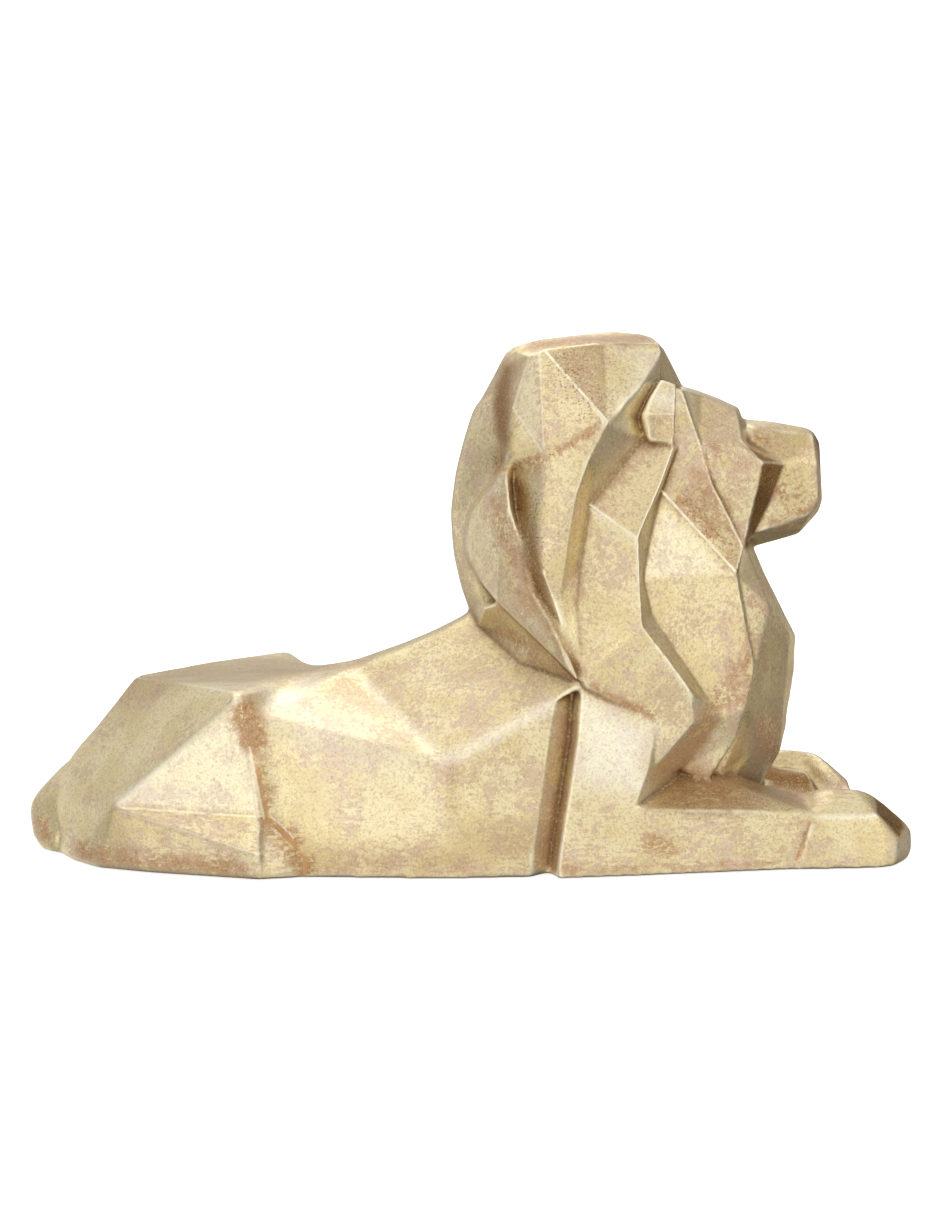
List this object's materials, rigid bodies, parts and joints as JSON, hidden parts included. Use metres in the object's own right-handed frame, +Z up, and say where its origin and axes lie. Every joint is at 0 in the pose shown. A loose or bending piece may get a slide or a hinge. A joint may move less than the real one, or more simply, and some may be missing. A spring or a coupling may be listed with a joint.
{
  "type": "lion figurine",
  "caption": "Reclining lion ornament with faceted planes and a rubbed gilt finish, lying on a flat underside with the head raised.",
  "frame": {"origin": "centre of the bounding box at the ground, on the middle plane of the animal", "axes": "+X from the rump to the paws, +Y to the animal's left, +Z up"},
  "size_m": [0.34, 0.134, 0.199],
  "materials": {
    "gilt": "champagne-gold leaf, rubbed through to a pinkish tan and rust-brown ground in the grooves"
  },
  "bodies": {
    "root": {"lion_figurine": "gilt"}
  },
  "joints": []
}
